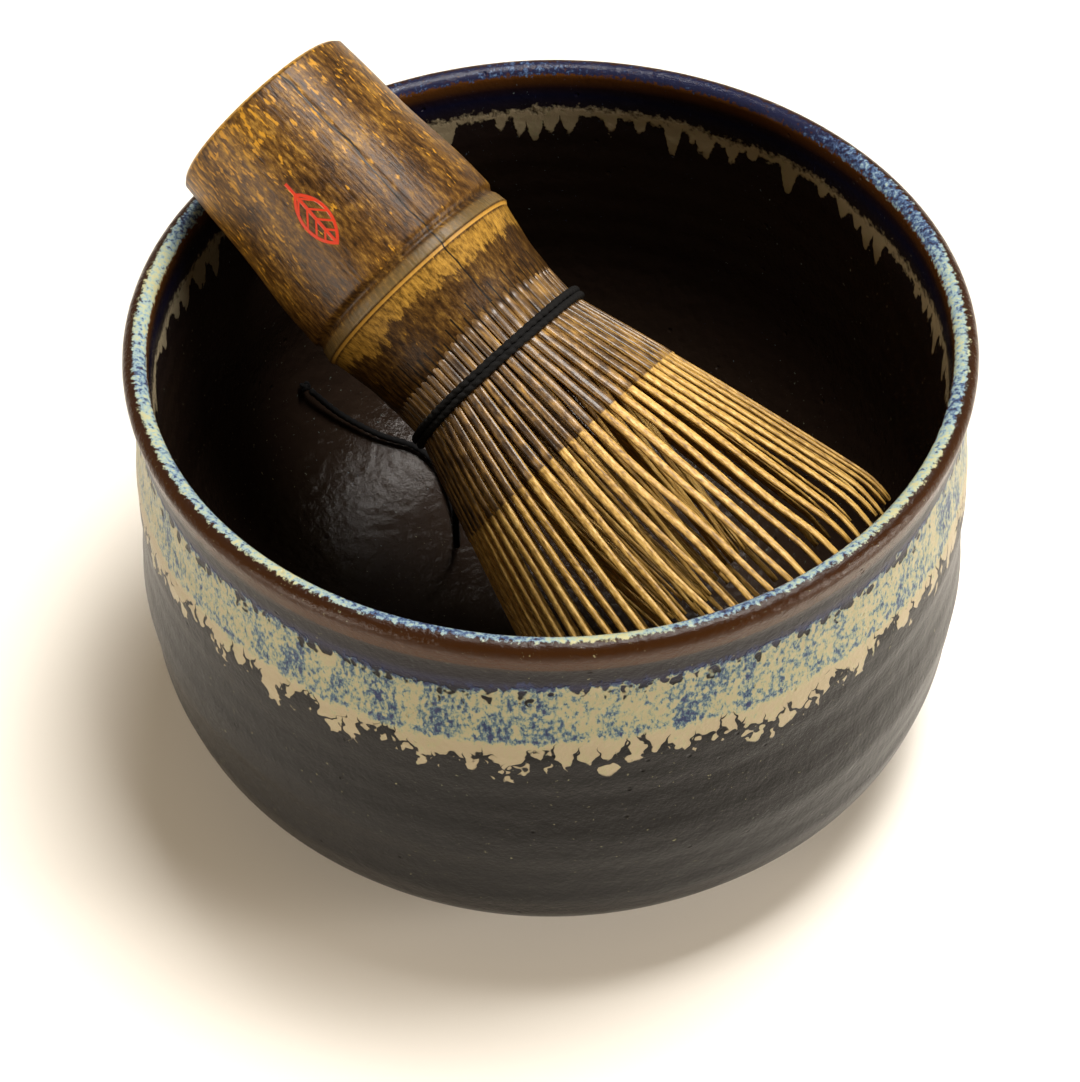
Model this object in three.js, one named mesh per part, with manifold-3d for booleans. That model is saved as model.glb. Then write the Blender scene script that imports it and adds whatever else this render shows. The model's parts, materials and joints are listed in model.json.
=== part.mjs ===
// A stoneware matcha bowl with a bamboo whisk lying in it. Millimetres, +Z up.
// The origin is on the bowl's axis, on the surface that its foot ring stands on.
import * as THREE from "three";
import { mergeVertices } from "three/addons/utils/BufferGeometryUtils.js";
import Module from "manifold-3d";

const wasm = await Module();
wasm.setup();

// Gap kept between pieces that touch on the real object.
const GAP = 0.3;

// Bowl.
const BOWL_HEIGHT = 75.4;
const LIP_RADIUS = 60;
const LIP_ROLL = 1.75; // half the thickness of the rounded lip
const NECK_RADIUS = 59.2;
const NECK_DROP = 8; // from the top of the lip down to the neck
const BELLY_RADIUS = 61.3;
const HIP_ROUND = 19; // turn from the wall to the underside
const FOOT_RADIUS = 30;
const FOOT_WIDTH = 5;
const FOOT_HEIGHT = 5;
const FOOT_HOLLOW = 3.5; // depth of the hollow inside the foot ring
const WALL = 5.3;
const INSIDE_ROUND = 27; // turn from the inside wall to the floor
const FLOOR_HEIGHT = 12.5;

// Whisk, measured along its axis from the cut end of the handle.
const WHISK_LENGTH = 102.4;
const HANDLE_LENGTH = 44.1;
const HANDLE_END_RADIUS = 15.2;
const HANDLE_EDGE = 0.5; // bevel round the cut end
const HANDLE_SWELL_RADIUS = 16.9;
const NODE_STATION = 33.2;
const NODE_RADIUS = 17.1;
const NODE_GROOVE = 0.5;
const NODE_WIDTH = 2.2;
const NECK_OF_HANDLE_RADIUS = 15.2;
const DIAPHRAGM = 2.5; // thickness of the natural wall across the culm at the node
const THREAD_STATION = 50;
const THREAD_DIAMETER = 1.1;
const THREAD_PINCH = 0.2; // how far the thread draws the tines in from the handle's neck

// Tines: the culm is split into staves, and each stave into tines.
const STAVES = 16;
const OUTER_TINES_PER_STAVE = 4;
const INNER_TINES_PER_STAVE = 3;
const WEB_LENGTH = 2; // unsplit root of a stave
const OUTER_TINE_WIDTH = 1.15;
const OUTER_TINE_TIP_WIDTH = 1;
const OUTER_TINE_THICKNESS = 0.7;
const OUTER_TINE_TIP_THICKNESS = 0.35;
const FAN_RADIUS = 29.9;
const FAN_BULGE = 0.5; // how far the tines bow outwards between thread and tips
const CURL_LENGTH = 5; // tip stretch that bends inwards
const CURL_IN = 1;
const INNER_TINE_WIDTH = 0.75;
const INNER_TINE_THICKNESS = 0.55;
const BORE_LEDGE = 0.55; // culm wall left inside the inner tines
const INNER_TIP_RADIUS = 8.6;
const INNER_TIP_DROP = 9; // the inner tines end this far short of the outer ones

// Resting place of the whisk in the bowl.
const WHISK_HEADING = -39.6; // degrees, the way the tips point seen from above
const WHISK_ASIDE = 3.4; // how far its axis passes to the side of the bowl's axis
const LIP_OVERHANG = 0.8; // least stretch of handle beyond the lip
const FAR_WALL_CLEARANCE = 1;
const THREAD_KNOT_RADIUS = 1.3;
const END_KNOT_RADIUS = 1;

// Route of the thread's loose end, from the knot down to the floor and up the wall of the bowl.
const TAIL_DIAMETER = 1.1;
const TAIL_ROUTE = [
  [-14.3, 7.4, 47.3],
  [-14.4, 7.5, 43],
  [-14.7, 7.7, 36],
  [-15, 8, 28],
  [-15.2, 9, 20.5],
  [-15.3, 11.5, 15.4],
  [-15.4, 15.8, 13.7],
  [-16.1, 21.1, 13.6],
  [-17.6, 26.6, 13.9],
  [-19.6, 30.7, 14.8],
  [-22.6, 32.9, 16],
  [-28.3, 33.4, 18.4],
  [-34.6, 34, 22.8],
  [-39, 34.2, 28],
];

// Fineness of the facets.
const BOWL_SIDES = 60;
const BOWL_CURVE_STEPS = 3;
const HANDLE_SIDES = 40;
const THREAD_SIDES = 30;
const THREAD_SECTION_SIDES = 6;
const FAN_STEPS = 3;
const INNER_STEPS = 2;
const ROOT_STEPS = 2;
const TAIL_SIDES = 8;

const GLAZE = new THREE.MeshStandardMaterial({ color: "#1b1512", roughness: 0.35, metalness: 0 });
const SMOKED_BAMBOO = new THREE.MeshStandardMaterial({ color: "#4d3419", roughness: 0.45, metalness: 0 });
const SPLIT_BAMBOO = new THREE.MeshStandardMaterial({ color: "#b58a3c", roughness: 0.6, metalness: 0 });
const THREAD = new THREE.MeshStandardMaterial({ color: "#0d0f14", roughness: 0.9, metalness: 0 });

const DEGREE = Math.PI / 180;
const FULL_TURN = 2 * Math.PI;
const STAVE_ANGLE = FULL_TURN / STAVES;
const WEB_START = HANDLE_LENGTH + GAP;
const PINCH_RADIUS = NECK_OF_HANDLE_RADIUS - THREAD_PINCH;
const OUTER_INSIDE_RADIUS = PINCH_RADIUS - OUTER_TINE_THICKNESS;
const INNER_THREAD_RADIUS = OUTER_INSIDE_RADIUS - GAP - THREAD_DIAMETER / 2;
const INNER_TINE_RADIUS = INNER_THREAD_RADIUS - THREAD_DIAMETER / 2 - GAP;
const BORE_RADIUS = INNER_TINE_RADIUS - INNER_TINE_THICKNESS - BORE_LEDGE;
const OUTER_THREAD_RADIUS = PINCH_RADIUS + GAP + THREAD_DIAMETER / 2;

function namedMesh(name, geometry, material) {
  const mesh = new THREE.Mesh(geometry, material);
  mesh.name = name;
  return mesh;
}

// A turned piece from its outline of (radius, height) points, with +Z as its axis.
function turned(outline, sides) {
  return new THREE.LatheGeometry(outline, sides).rotateX(Math.PI / 2);
}

function solidOf(geometry) {
  const bare = new THREE.BufferGeometry();
  bare.setAttribute("position", geometry.getAttribute("position"));
  bare.setIndex(geometry.index);
  const merged = mergeVertices(bare, 1e-4);
  return new wasm.Manifold(
    new wasm.Mesh({
      numProp: 3,
      vertProperties: merged.getAttribute("position").array,
      triVerts: new Uint32Array(merged.index.array),
    }),
  );
}

function joined(geometries) {
  const solid = geometries.map(solidOf).reduce((whole, piece) => whole.add(piece));
  const mesh = solid.getMesh();
  const geometry = new THREE.BufferGeometry();
  geometry.setAttribute("position", new THREE.BufferAttribute(new Float32Array(mesh.vertProperties), 3));
  geometry.setIndex(new THREE.BufferAttribute(new Uint32Array(mesh.triVerts), 1));
  return geometry;
}

// The bowl's closed outline, from the middle of the underside round the wall to the middle of the floor.
function bowlOutline() {
  const insideRadius = BELLY_RADIUS - WALL;
  const lipCentre = BOWL_HEIGHT - LIP_ROLL;
  const hipTop = FOOT_HEIGHT + HIP_ROUND;
  const neckHeight = BOWL_HEIGHT - NECK_DROP;
  const outline = new THREE.Path();
  outline.moveTo(0, FOOT_HOLLOW);
  outline.lineTo(FOOT_RADIUS - FOOT_WIDTH, FOOT_HOLLOW);
  outline.lineTo(FOOT_RADIUS - FOOT_WIDTH, 0);
  outline.lineTo(FOOT_RADIUS, 0);
  outline.lineTo(FOOT_RADIUS, FOOT_HEIGHT);
  outline.lineTo(BELLY_RADIUS - HIP_ROUND, FOOT_HEIGHT);
  outline.absarc(BELLY_RADIUS - HIP_ROUND, hipTop, HIP_ROUND, -Math.PI / 2, 0);
  outline.splineThru([
    new THREE.Vector2(BELLY_RADIUS, (hipTop + neckHeight) / 2),
    new THREE.Vector2(NECK_RADIUS, neckHeight),
    new THREE.Vector2(LIP_RADIUS, lipCentre),
  ]);
  outline.absarc(LIP_RADIUS - LIP_ROLL, lipCentre, LIP_ROLL, 0, Math.PI);
  outline.lineTo(insideRadius, FLOOR_HEIGHT + INSIDE_ROUND);
  outline.absarc(
    insideRadius - INSIDE_ROUND,
    FLOOR_HEIGHT + INSIDE_ROUND,
    INSIDE_ROUND,
    0,
    -Math.PI / 2,
    true,
  );
  outline.lineTo(0, FLOOR_HEIGHT);
  return outline.getPoints(BOWL_CURVE_STEPS);
}

function makeBowl() {
  return namedMesh("bowl", turned(bowlOutline(), BOWL_SIDES), GLAZE);
}

// Outside of the handle from the cut end to the roots of the tines.
function handleSkin() {
  return [
    new THREE.Vector2(HANDLE_END_RADIUS, HANDLE_EDGE),
    new THREE.Vector2((HANDLE_END_RADIUS + HANDLE_SWELL_RADIUS) / 2, NODE_STATION * 0.42),
    new THREE.Vector2(HANDLE_SWELL_RADIUS, NODE_STATION - 1.5 * NODE_WIDTH),
    new THREE.Vector2(NODE_RADIUS - NODE_GROOVE, NODE_STATION - NODE_WIDTH / 2),
    new THREE.Vector2(NODE_RADIUS, NODE_STATION),
    new THREE.Vector2((NODE_RADIUS + NECK_OF_HANDLE_RADIUS) / 2, NODE_STATION + 2 * NODE_WIDTH),
    new THREE.Vector2(NECK_OF_HANDLE_RADIUS, HANDLE_LENGTH),
  ];
}

// The culm's handle: a tube that the bamboo's own diaphragm closes at the node.
function makeHandle() {
  const outline = [
    new THREE.Vector2(0, NODE_STATION - DIAPHRAGM / 2),
    new THREE.Vector2(BORE_RADIUS, NODE_STATION - DIAPHRAGM / 2),
    new THREE.Vector2(BORE_RADIUS, 0),
    new THREE.Vector2(HANDLE_END_RADIUS - HANDLE_EDGE, 0),
    ...handleSkin(),
    new THREE.Vector2(BORE_RADIUS, HANDLE_LENGTH),
    new THREE.Vector2(BORE_RADIUS, NODE_STATION + DIAPHRAGM / 2),
    new THREE.Vector2(0, NODE_STATION + DIAPHRAGM / 2),
  ];
  return namedMesh("whisk_handle", turned(outline, HANDLE_SIDES), SMOKED_BAMBOO);
}

// A flat strip that follows an outline of (radius, station) points, with its broad side facing outwards.
function strip(spine, angle, widthAt, thicknessAt) {
  const positions = [];
  const triangles = [];
  spine.forEach((point, row) => {
    const share = row / (spine.length - 1);
    const half = widthAt(share) / 2;
    const inside = point.x - thicknessAt(share);
    [[inside, -half], [point.x, -half], [point.x, half], [inside, half]].forEach(([out, side]) => {
      const x = out * Math.cos(angle) - side * Math.sin(angle);
      const y = out * Math.sin(angle) + side * Math.cos(angle);
      positions.push(x, y, point.y);
    });
  });
  for (let row = 0; row < spine.length - 1; row++) {
    for (let corner = 0; corner < 4; corner++) {
      const a = 4 * row + corner;
      const b = 4 * row + ((corner + 1) % 4);
      triangles.push(a, b, b + 4, a, b + 4, a + 4);
    }
  }
  const last = 4 * (spine.length - 1);
  triangles.push(0, 2, 1, 0, 3, 2);
  triangles.push(last, last + 1, last + 2, last, last + 2, last + 3);
  const geometry = new THREE.BufferGeometry();
  geometry.setAttribute("position", new THREE.Float32BufferAttribute(positions, 3));
  geometry.setIndex(triangles);
  return geometry;
}

// The unsplit root of a stave: a piece of tube wall as wide as its tines together.
function staveRoot(insideRadius, outsideRadius, angle, reach) {
  const sector = new THREE.Shape();
  sector.absarc(0, 0, outsideRadius, angle - reach / 2, angle + reach / 2);
  sector.absarc(0, 0, insideRadius, angle + reach / 2, angle - reach / 2, true);
  const settings = { depth: WEB_LENGTH, bevelEnabled: false, curveSegments: ROOT_STEPS };
  return new THREE.ExtrudeGeometry(sector, settings).translate(0, 0, WEB_START);
}

// One stave with its tines. Each tine starts inside the root, so that the two join.
function makeStave(name, index, count, spine, sizes) {
  const middle = index * STAVE_ANGLE;
  const pitch = STAVE_ANGLE / count;
  const radius = spine[0].x;
  const reach = STAVE_ANGLE - GAP / (radius - sizes.thickness);
  const pieces = [staveRoot(radius - sizes.thickness, radius, middle, reach)];
  for (let tine = 0; tine < count; tine++) {
    const angle = middle + (tine - (count - 1) / 2) * pitch;
    const widthAt = (share) => THREE.MathUtils.lerp(sizes.width, sizes.tipWidth, share);
    const thicknessAt = (share) => THREE.MathUtils.lerp(sizes.thickness, sizes.tipThickness, share);
    pieces.push(strip(spine, angle, widthAt, thicknessAt));
  }
  return namedMesh(name, joined(pieces), SPLIT_BAMBOO);
}

// Run of an outer tine: straight through the thread, then bowed out to the fan, with its tip curled in.
function outerSpine() {
  const curlStart = WHISK_LENGTH - CURL_LENGTH;
  const run = curlStart - THREAD_STATION;
  const points = [
    new THREE.Vector2(PINCH_RADIUS, WEB_START + WEB_LENGTH / 2),
    new THREE.Vector2(PINCH_RADIUS, THREAD_STATION + THREAD_DIAMETER),
  ];
  for (let step = 1; step <= FAN_STEPS; step++) {
    const share = step / FAN_STEPS;
    const bow = 4 * FAN_BULGE * share * (1 - share);
    const radius = THREE.MathUtils.lerp(PINCH_RADIUS, FAN_RADIUS, share) + bow;
    points.push(new THREE.Vector2(radius, THREAD_STATION + run * share));
  }
  points.push(new THREE.Vector2(FAN_RADIUS - CURL_IN, WHISK_LENGTH));
  return points;
}

// Run of an inner tine: through the thread, then in towards the whisk's axis.
function innerSpine() {
  const tip = WHISK_LENGTH - INNER_TIP_DROP;
  const points = [
    new THREE.Vector2(INNER_TINE_RADIUS, WEB_START + WEB_LENGTH / 2),
    new THREE.Vector2(INNER_TINE_RADIUS, THREAD_STATION + THREAD_DIAMETER),
  ];
  const start = points[1].y;
  for (let step = 1; step <= INNER_STEPS; step++) {
    const share = step / INNER_STEPS;
    const radius = THREE.MathUtils.lerp(INNER_TINE_RADIUS, INNER_TIP_RADIUS, share);
    points.push(new THREE.Vector2(radius, THREE.MathUtils.lerp(start, tip, share)));
  }
  return points;
}

function makeOuterTines() {
  const sizes = {
    width: OUTER_TINE_WIDTH,
    tipWidth: OUTER_TINE_TIP_WIDTH,
    thickness: OUTER_TINE_THICKNESS,
    tipThickness: OUTER_TINE_TIP_THICKNESS,
  };
  const spine = outerSpine();
  return Array.from({ length: STAVES }, (_, index) => {
    const name = "outer_tines_" + String(index + 1).padStart(2, "0");
    return makeStave(name, index, OUTER_TINES_PER_STAVE, spine, sizes);
  });
}

function makeInnerTines() {
  const sizes = {
    width: INNER_TINE_WIDTH,
    tipWidth: INNER_TINE_WIDTH,
    thickness: INNER_TINE_THICKNESS,
    tipThickness: INNER_TINE_THICKNESS,
  };
  const spine = innerSpine();
  return Array.from({ length: STAVES }, (_, index) => {
    const name = "inner_tines_" + String(index + 1).padStart(2, "0");
    return makeStave(name, index, INNER_TINES_PER_STAVE, spine, sizes);
  });
}

// One turn of the thread round the tines.
function threadTurn(name, radius, station) {
  const ring = new THREE.TorusGeometry(radius, THREAD_DIAMETER / 2, THREAD_SECTION_SIDES, THREAD_SIDES);
  return namedMesh(name, ring.translate(0, 0, station), THREAD);
}

function makeThreadTurns() {
  const apart = (THREAD_DIAMETER + GAP) / 2;
  return [
    threadTurn("thread_outer_turn_1", OUTER_THREAD_RADIUS, THREAD_STATION - apart),
    threadTurn("thread_outer_turn_2", OUTER_THREAD_RADIUS, THREAD_STATION + apart),
    threadTurn("thread_inner_turn", INNER_THREAD_RADIUS, THREAD_STATION),
  ];
}

// Outside radius of the handle at a station.
function handleRadiusAt(station) {
  const skin = handleSkin();
  const after = skin.findIndex((point) => point.y > station);
  if (after < 1) return HANDLE_END_RADIUS;
  const [a, b] = [skin[after - 1], skin[after]];
  return THREE.MathUtils.mapLinear(station, a.y, b.y, a.x, b.x);
}

// The root of a function that changes sign between two values.
function rootBetween(low, high, miss) {
  const sign = Math.sign(miss(low));
  let [a, b] = [low, high];
  for (let step = 0; step < 60; step++) {
    const middle = (a + b) / 2;
    if (Math.sign(miss(middle)) === sign) a = middle;
    else b = middle;
  }
  return (a + b) / 2;
}

// Where the whisk's cut end lies, in the upright plane through both axes, when the handle touches the
// lip at a station and the axis points down by an angle. The first value runs from the bowl's axis.
function cutEndFor(tilt, station) {
  const along = new THREE.Vector2(Math.cos(tilt), -Math.sin(tilt));
  const up = new THREE.Vector2(Math.sin(tilt), Math.cos(tilt));
  const lip = new THREE.Vector2(LIP_ROLL - LIP_RADIUS, BOWL_HEIGHT - LIP_ROLL);
  const reach = LIP_ROLL + GAP + handleRadiusAt(station);
  return lip.addScaledVector(up, reach).addScaledVector(along, -station);
}

// The tilt at which the lowest tips lie on the floor.
function tiltOnFloor(station) {
  return rootBetween(2 * DEGREE, 80 * DEGREE, (tilt) => {
    const tips = cutEndFor(tilt, station).y - WHISK_LENGTH * Math.sin(tilt);
    return tips - FAN_RADIUS * Math.cos(tilt) - FLOOR_HEIGHT - GAP;
  });
}

// How far from the bowl's axis the outermost of the tips lies at a tilt.
function tipReach(tilt, station) {
  const middle = cutEndFor(tilt, station).x + WHISK_LENGTH * Math.cos(tilt);
  const tips = STAVES * OUTER_TINES_PER_STAVE;
  const reaches = Array.from({ length: tips }, (_, index) => {
    const angle = (index / tips) * FULL_TURN;
    const ahead = middle + FAN_RADIUS * Math.sin(tilt) * Math.cos(angle);
    return Math.hypot(ahead, WHISK_ASIDE + FAN_RADIUS * Math.sin(angle));
  });
  return Math.max(...reaches);
}

// The whisk rests on the lip and the floor, and slides back over the lip where its tips meet the far wall.
function restingPose() {
  const spare = (station) => BELLY_RADIUS - WALL - FAR_WALL_CLEARANCE - tipReach(tiltOnFloor(station), station);
  const fits = spare(LIP_OVERHANG) >= 0;
  const station = fits ? LIP_OVERHANG : rootBetween(LIP_OVERHANG, NODE_STATION, spare);
  const tilt = tiltOnFloor(station);
  return { tilt, cutEnd: cutEndFor(tilt, station) };
}

// The small knot that closes the thread, on the side of the whisk that faces down.
function makeThreadKnot() {
  const ball = new THREE.IcosahedronGeometry(THREAD_KNOT_RADIUS, 1);
  const out = OUTER_THREAD_RADIUS + THREAD_DIAMETER / 2 + GAP + THREAD_KNOT_RADIUS;
  return namedMesh("thread_knot", ball.translate(0, out, THREAD_STATION), THREAD);
}

function makeWhisk() {
  const whisk = new THREE.Group();
  whisk.add(makeHandle(), ...makeOuterTines(), ...makeInnerTines(), ...makeThreadTurns(), makeThreadKnot());
  const { tilt, cutEnd } = restingPose();
  const heading = WHISK_HEADING * DEGREE;
  const along = new THREE.Vector3(
    Math.cos(heading) * Math.cos(tilt),
    Math.sin(heading) * Math.cos(tilt),
    -Math.sin(tilt),
  );
  const down = new THREE.Vector3(
    -Math.cos(heading) * Math.sin(tilt),
    -Math.sin(heading) * Math.sin(tilt),
    -Math.cos(tilt),
  );
  const side = new THREE.Vector3().crossVectors(down, along);
  whisk.quaternion.setFromRotationMatrix(new THREE.Matrix4().makeBasis(side, down, along));
  whisk.position.set(cutEnd.x * Math.cos(heading), cutEnd.x * Math.sin(heading), cutEnd.y);
  whisk.position.addScaledVector(side, WHISK_ASIDE);
  return whisk;
}

function makeTail() {
  const route = new THREE.CatmullRomCurve3(TAIL_ROUTE.map((point) => new THREE.Vector3(...point)));
  const section = new THREE.Shape();
  section.absarc(0, 0, TAIL_DIAMETER / 2, 0, FULL_TURN);
  const steps = Math.round(route.getLength() / (2.2 * TAIL_DIAMETER));
  const settings = { steps, curveSegments: TAIL_SIDES / 2, extrudePath: route };
  const end = route.getPoint(1);
  const forward = route.getTangent(1);
  const knot = new THREE.IcosahedronGeometry(END_KNOT_RADIUS, 1);
  end.addScaledVector(forward, END_KNOT_RADIUS + GAP);
  return [
    namedMesh("thread_tail", new THREE.ExtrudeGeometry(section, settings), THREAD),
    namedMesh("tail_end_knot", knot.translate(end.x, end.y, end.z), THREAD),
  ];
}

const matchaBowl = new THREE.Group();
matchaBowl.add(makeBowl(), makeWhisk(), ...makeTail());

export default matchaBowl;
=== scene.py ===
"""A stoneware matcha bowl with a bamboo whisk lying in it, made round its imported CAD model.

Lengths are written in millimetres and turned to metres where the meshes are made.
"""

import json
import math
from functools import partial

import bpy
import numpy as np
from mathutils import Matrix, Vector


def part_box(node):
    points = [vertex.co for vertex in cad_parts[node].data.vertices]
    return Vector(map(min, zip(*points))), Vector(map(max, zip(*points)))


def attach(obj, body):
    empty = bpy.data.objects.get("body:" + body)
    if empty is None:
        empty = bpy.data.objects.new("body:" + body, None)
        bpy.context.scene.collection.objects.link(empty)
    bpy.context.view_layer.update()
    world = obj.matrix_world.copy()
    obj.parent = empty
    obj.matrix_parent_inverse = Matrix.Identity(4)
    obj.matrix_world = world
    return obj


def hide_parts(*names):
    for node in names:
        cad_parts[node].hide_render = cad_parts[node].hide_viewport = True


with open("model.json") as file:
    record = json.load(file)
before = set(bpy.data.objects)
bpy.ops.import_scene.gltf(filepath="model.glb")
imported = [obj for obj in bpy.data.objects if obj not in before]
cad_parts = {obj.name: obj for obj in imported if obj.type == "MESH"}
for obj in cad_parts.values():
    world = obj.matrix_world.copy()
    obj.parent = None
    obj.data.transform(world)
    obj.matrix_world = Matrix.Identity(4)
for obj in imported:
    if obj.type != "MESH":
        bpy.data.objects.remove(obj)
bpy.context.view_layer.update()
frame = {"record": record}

MM = 0.001
TURN = 2 * math.pi


# ---------------------------------------------------------------- nodes and meshes


def linear(colour):
    """A colour written as sRGB hex, as linear RGBA."""
    parts = [int(colour[i : i + 2], 16) / 255 for i in (1, 3, 5)]
    return tuple(c / 12.92 if c <= 0.04045 else ((c + 0.055) / 1.055) ** 2.4 for c in parts) + (1.0,)


def set_inputs(node, inputs):
    """Gives a node's inputs, by name or in their own order, values to set or nodes and sockets to link."""
    for key, value in inputs.items() if isinstance(inputs, dict) else enumerate(inputs):
        named = isinstance(key, str)
        socket = next(s for s in node.inputs if s.enabled and s.name == key) if named else node.inputs[key]
        if isinstance(value, bpy.types.Node):
            value = next(output for output in value.outputs if output.enabled)
        if isinstance(value, bpy.types.NodeSocket):
            node.id_data.links.new(value, socket)
        else:
            socket.default_value = value


def add_node(tree, kind, inputs=(), stops=(), **settings):
    """Adds a node with its settings, its inputs, and the (place, colour) stops of a colour ramp.

    The operation of a maths node follows its kind. The inputs of a MapRange, in their own order, are the
    value and the ends of its two ranges.
    """
    kind, _, operation = kind.partition(" ")
    family = next(f for f in ("ShaderNode", "GeometryNode", "FunctionNode") if hasattr(bpy.types, f + kind))
    node = tree.nodes.new(family + kind)
    if operation:
        node.operation = operation
    for name, value in settings.items():
        setattr(node, name, value)
    for number, (place, colour) in enumerate(stops):
        elements = node.color_ramp.elements
        element = elements[number] if number < 2 else elements.new(1)
        element.position = place
        element.color = linear(colour)
    set_inputs(node, inputs)
    return node


def new_material(name):
    """A material, the function that adds nodes to it, and its shader."""
    material = bpy.data.materials.new(name)
    material.use_nodes = True
    tree = material.node_tree
    return material, partial(add_node, tree), tree.nodes["Principled BSDF"]


def new_object(name, data):
    """An object in the scene, at the origin."""
    thing = bpy.data.objects.new(name, data)
    bpy.context.scene.collection.objects.link(thing)
    return thing


def new_piece(name, points, faces, material):
    """A smooth mesh object from points in millimetres, with its place in its mesh."""
    mesh = bpy.data.meshes.new(name)
    mesh.from_pydata((np.asarray(points) * MM).tolist(), [], faces)
    mesh.materials.append(material)
    mesh.shade_smooth()
    return new_object(name, mesh)


def set_attribute(piece, name, values):
    """Stores a vector at each point of a mesh, for the materials."""
    attribute = piece.data.attributes.new(name, "FLOAT_VECTOR", "POINT")
    attribute.data.foreach_set("vector", np.asarray(values, np.float32).ravel())


def grid_faces(rows, columns, closed=False):
    """Quads between rows of points, where each row closes on itself."""
    faces = []
    for row in range(rows if closed else rows - 1):
        below, above = row * columns, (row + 1) % rows * columns
        for column in range(columns):
            beside = (column + 1) % columns
            faces.append((below + column, below + beside, above + beside, above + column))
    return faces


def turned(outline, columns):
    """Points and faces of a turned solid, from its outline of (radius, height) points.

    The outline starts and ends on the axis, and runs so that the solid is on its left.
    """
    inner = outline[1:-1]
    angles = np.arange(columns) * TURN / columns
    radius, angle = np.meshgrid(inner[:, 0], angles, indexing="ij")
    height = np.repeat(inner[:, 1:2], columns, axis=1)
    ring = np.stack([radius * np.cos(angle), radius * np.sin(angle), height], -1).reshape(-1, 3)
    first, last = [0, 0, outline[0, 1]], [0, 0, outline[-1, 1]]
    points = np.vstack([ring, first, last])
    faces = grid_faces(len(inner), columns)
    low, high, top = len(ring), len(ring) + 1, (len(inner) - 1) * columns
    for column in range(columns):
        beside = (column + 1) % columns
        faces.append((low, beside, column))
        faces.append((high, top + column, top + beside))
    return points, faces


def arc(centre, radius, start, end, step):
    """Points of an arc between two angles in degrees, about a step apart."""
    count = max(2, round(abs(math.radians(end - start)) * radius / step))
    angles = np.radians(np.linspace(start, end, count + 1))
    return np.stack([centre[0] + radius * np.cos(angles), centre[1] + radius * np.sin(angles)], -1)


def smooth_path(knots, step):
    """Points about a step apart on a smooth centripetal curve through the knots."""
    knots = np.asarray(knots, float)
    ends = np.vstack([2 * knots[0] - knots[1], knots, 2 * knots[-1] - knots[-2]])
    path = []
    for p0, p1, p2, p3 in zip(ends, ends[1:], ends[2:], ends[3:]):
        t0 = 0
        t1 = t0 + np.linalg.norm(p1 - p0) ** 0.5
        t2 = t1 + np.linalg.norm(p2 - p1) ** 0.5
        t3 = t2 + np.linalg.norm(p3 - p2) ** 0.5
        count = max(1, round(np.linalg.norm(p2 - p1) / step))
        t = np.linspace(t1, t2, count, endpoint=False)[:, None]
        a1 = (t1 - t) / (t1 - t0) * p0 + (t - t0) / (t1 - t0) * p1
        a2 = (t2 - t) / (t2 - t1) * p1 + (t - t1) / (t2 - t1) * p2
        a3 = (t3 - t) / (t3 - t2) * p2 + (t - t2) / (t3 - t2) * p3
        b1 = (t2 - t) / (t2 - t0) * a1 + (t - t0) / (t2 - t0) * a2
        b2 = (t3 - t) / (t3 - t1) * a2 + (t - t1) / (t3 - t1) * a3
        path.append((t2 - t) / (t2 - t1) * b1 + (t - t1) / (t2 - t1) * b2)
    return np.vstack([*path, knots[-1:]])


def waves(x, y, seed, count=9):
    """Smooth repeatable noise of about -1 to 1 over a plane, as a sum of turned waves."""
    rng = np.random.default_rng(seed)
    total = 0
    for _ in range(count):
        angle, phase = rng.uniform(0, TURN, 2)
        pitch = rng.uniform(0.6, 1.6)
        total = total + np.sin(pitch * TURN * (x * math.cos(angle) + y * math.sin(angle)) + phase)
    return total / math.sqrt(count)


# ---------------------------------------------------------------- camera, floor and light

SENSOR = 36
LENS = 86.5
CAMERA_BACK = 266
CAMERA_UP = 326.85
CAMERA_DOWNWARD = math.radians(48.23)
CAMERA_TURN = math.radians(0.4)
CAMERA_ROLL = math.radians(0.93)
FLOOR_SIZE = 6000
WORLD_STRENGTH = 0.19
HORIZON_STRENGTH = 0.75
HORIZON_BAND = 0.3


def make_camera():
    data = bpy.data.cameras.new("camera")
    data.sensor_width = SENSOR
    data.lens = LENS
    camera = new_object("camera", data)
    place = Matrix.Translation(Vector((0, -CAMERA_BACK, CAMERA_UP)) * MM)
    turn = Matrix.Rotation(CAMERA_TURN, 4, "Z")
    tip = Matrix.Rotation(math.pi / 2 - CAMERA_DOWNWARD, 4, "X")
    roll = Matrix.Rotation(-CAMERA_ROLL, 4, "Z")
    camera.matrix_world = place @ turn @ tip @ roll
    bpy.context.scene.camera = camera


def make_light(name, place, size, power, colour="#ffffff", target=(0, 0, 40)):
    """A soft box of that width and height, aimed at a point of the object."""
    data = bpy.data.lights.new(name, "AREA")
    data.shape = "RECTANGLE"
    data.size = size[0] * MM
    data.size_y = size[1] * MM
    data.energy = power
    data.color = linear(colour)[:3]
    lamp = new_object(name, data)
    place = Vector(place)
    aim = (place - Vector(target)).to_track_quat("Z", "Y").to_matrix().to_4x4()
    lamp.matrix_world = Matrix.Translation(place * MM) @ aim


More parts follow.
